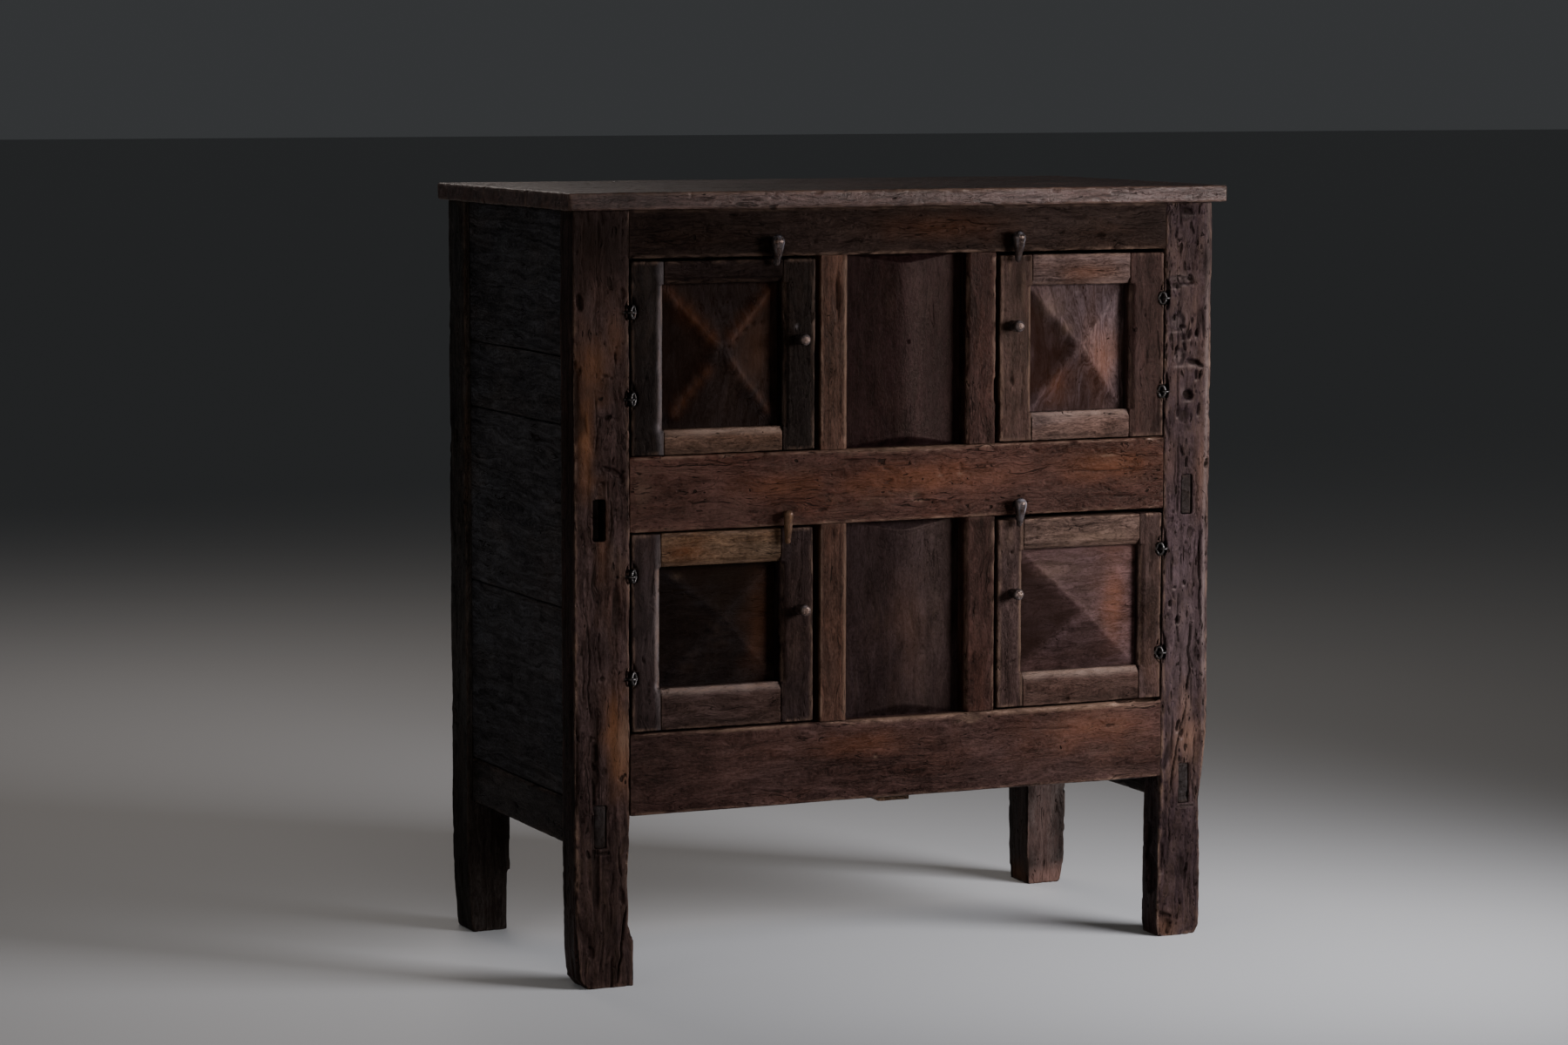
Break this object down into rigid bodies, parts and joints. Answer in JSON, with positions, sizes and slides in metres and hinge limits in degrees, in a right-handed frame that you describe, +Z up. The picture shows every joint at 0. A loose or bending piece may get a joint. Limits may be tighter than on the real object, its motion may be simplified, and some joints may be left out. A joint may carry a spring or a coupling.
{
  "type": "wooden cupboard",
  "caption": "Low free-standing cupboard of framed hardwood with hinged panelled doors, turn buttons, fielded centre panels and an inner shelf, for storage.",
  "frame": {"origin": "on the floor, in the middle of the footprint of the bounding box", "axes": "+Z up, +X to the right when seen from the front, the front faces -Y"},
  "size_m": [1.018, 0.534, 1.099],
  "materials": {
    "frame_wood": "dark worn walnut with old wax",
    "dark_wood": "dark dry walnut",
    "tan_wood": "faded tan replacement wood",
    "inner_wood": "dry unwaxed boards",
    "button_wood": "handled, dark, slightly polished",
    "iron": "forged iron with old rust"
  },
  "bodies": {
    "carcass": {"post_front_left": "frame_wood", "post_front_right": "frame_wood", "post_back_left": "dark_wood", "post_back_right": "dark_wood", "front_rail_top": "frame_wood", "front_rail_middle": "frame_wood", "front_rail_bottom": "frame_wood", "muntin_upper_left": "frame_wood", "muntin_upper_right": "frame_wood", "muntin_lower_left": "frame_wood", "muntin_lower_right": "frame_wood", "centre_panel_upper": "frame_wood", "centre_panel_lower": "frame_wood", "side_rail_left": "dark_wood", "side_rail_right": "dark_wood", "shelf_bearers": "inner_wood", "side_boards_left": "dark_wood", "side_boards_right": "dark_wood", "back_rails": "inner_wood", "back_boards": "inner_wood", "floor_boards": "inner_wood", "floor_bearer": "inner_wood", "shelf_boards": "inner_wood", "top_board_front": "frame_wood", "top_board_middle": "frame_wood", "top_board_back": "frame_wood", "forged_nails": "iron", "hinge_eyes_on_posts": "iron"},
    "door_upper_left": {"door_upper_left_hinge_stile": "dark_wood", "door_upper_left_lock_stile": "dark_wood", "door_upper_left_top_rail": "dark_wood", "door_upper_left_bottom_rail": "tan_wood", "door_upper_left_panel": "frame_wood", "door_upper_left_knob": "button_wood", "door_upper_left_hinge_eyes": "iron"},
    "turn_button_upper_left": {"turn_button_upper_left": "button_wood"},
    "door_upper_right": {"door_upper_right_hinge_stile": "frame_wood", "door_upper_right_lock_stile": "frame_wood", "door_upper_right_top_rail": "frame_wood", "door_upper_right_bottom_rail": "frame_wood", "door_upper_right_panel": "frame_wood", "door_upper_right_knob": "button_wood", "door_upper_right_hinge_eyes": "iron"},
    "turn_button_upper_right": {"turn_button_upper_right": "button_wood"},
    "door_lower_left": {"door_lower_left_hinge_stile": "frame_wood", "door_lower_left_lock_stile": "frame_wood", "door_lower_left_top_rail": "tan_wood", "door_lower_left_bottom_rail": "frame_wood", "door_lower_left_panel": "dark_wood", "door_lower_left_knob": "button_wood", "door_lower_left_hinge_eyes": "iron"},
    "turn_button_lower_left": {"turn_button_lower_left": "button_wood"},
    "door_lower_right": {"door_lower_right_hinge_stile": "frame_wood", "door_lower_right_lock_stile": "frame_wood", "door_lower_right_top_rail": "tan_wood", "door_lower_right_bottom_rail": "frame_wood", "door_lower_right_panel": "frame_wood", "door_lower_right_knob": "button_wood", "door_lower_right_hinge_eyes": "iron"},
    "turn_button_lower_right": {"turn_button_lower_right": "button_wood"}
  },
  "joints": [
    {"name": "door_upper_left_swing", "type": "hinge", "parent": "carcass", "child": "door_upper_left", "pos_m": [-0.4125, -0.246, 0.871], "axis": [0, 0, -1], "range_deg": [0, 170]},
    {"name": "turn_button_upper_left_turn", "type": "hinge", "parent": "carcass", "child": "turn_button_upper_left", "pos_m": [-0.198, -0.243, 1.029], "axis": [0, 1, 0], "continuous": true},
    {"name": "door_upper_right_swing", "type": "hinge", "parent": "carcass", "child": "door_upper_right", "pos_m": [0.4195, -0.246, 0.8705], "axis": [0, 0, 1], "range_deg": [0, 170]},
    {"name": "turn_button_upper_right_turn", "type": "hinge", "parent": "carcass", "child": "turn_button_upper_right", "pos_m": [0.176, -0.243, 1.029], "axis": [0, 1, 0], "continuous": true},
    {"name": "door_lower_left_swing", "type": "hinge", "parent": "carcass", "child": "door_lower_left", "pos_m": [-0.4125, -0.246, 0.492], "axis": [0, 0, -1], "range_deg": [0, 170]},
    {"name": "turn_button_lower_left_turn", "type": "hinge", "parent": "carcass", "child": "turn_button_lower_left", "pos_m": [-0.181, -0.243, 0.649], "axis": [0, 1, 0], "continuous": true},
    {"name": "door_lower_right_swing", "type": "hinge", "parent": "carcass", "child": "door_lower_right", "pos_m": [0.4195, -0.246, 0.4905], "axis": [0, 0, 1], "range_deg": [0, 170]},
    {"name": "turn_button_lower_right_turn", "type": "hinge", "parent": "carcass", "child": "turn_button_lower_right", "pos_m": [0.181, -0.243, 0.649], "axis": [0, 1, 0], "continuous": true}
  ]
}
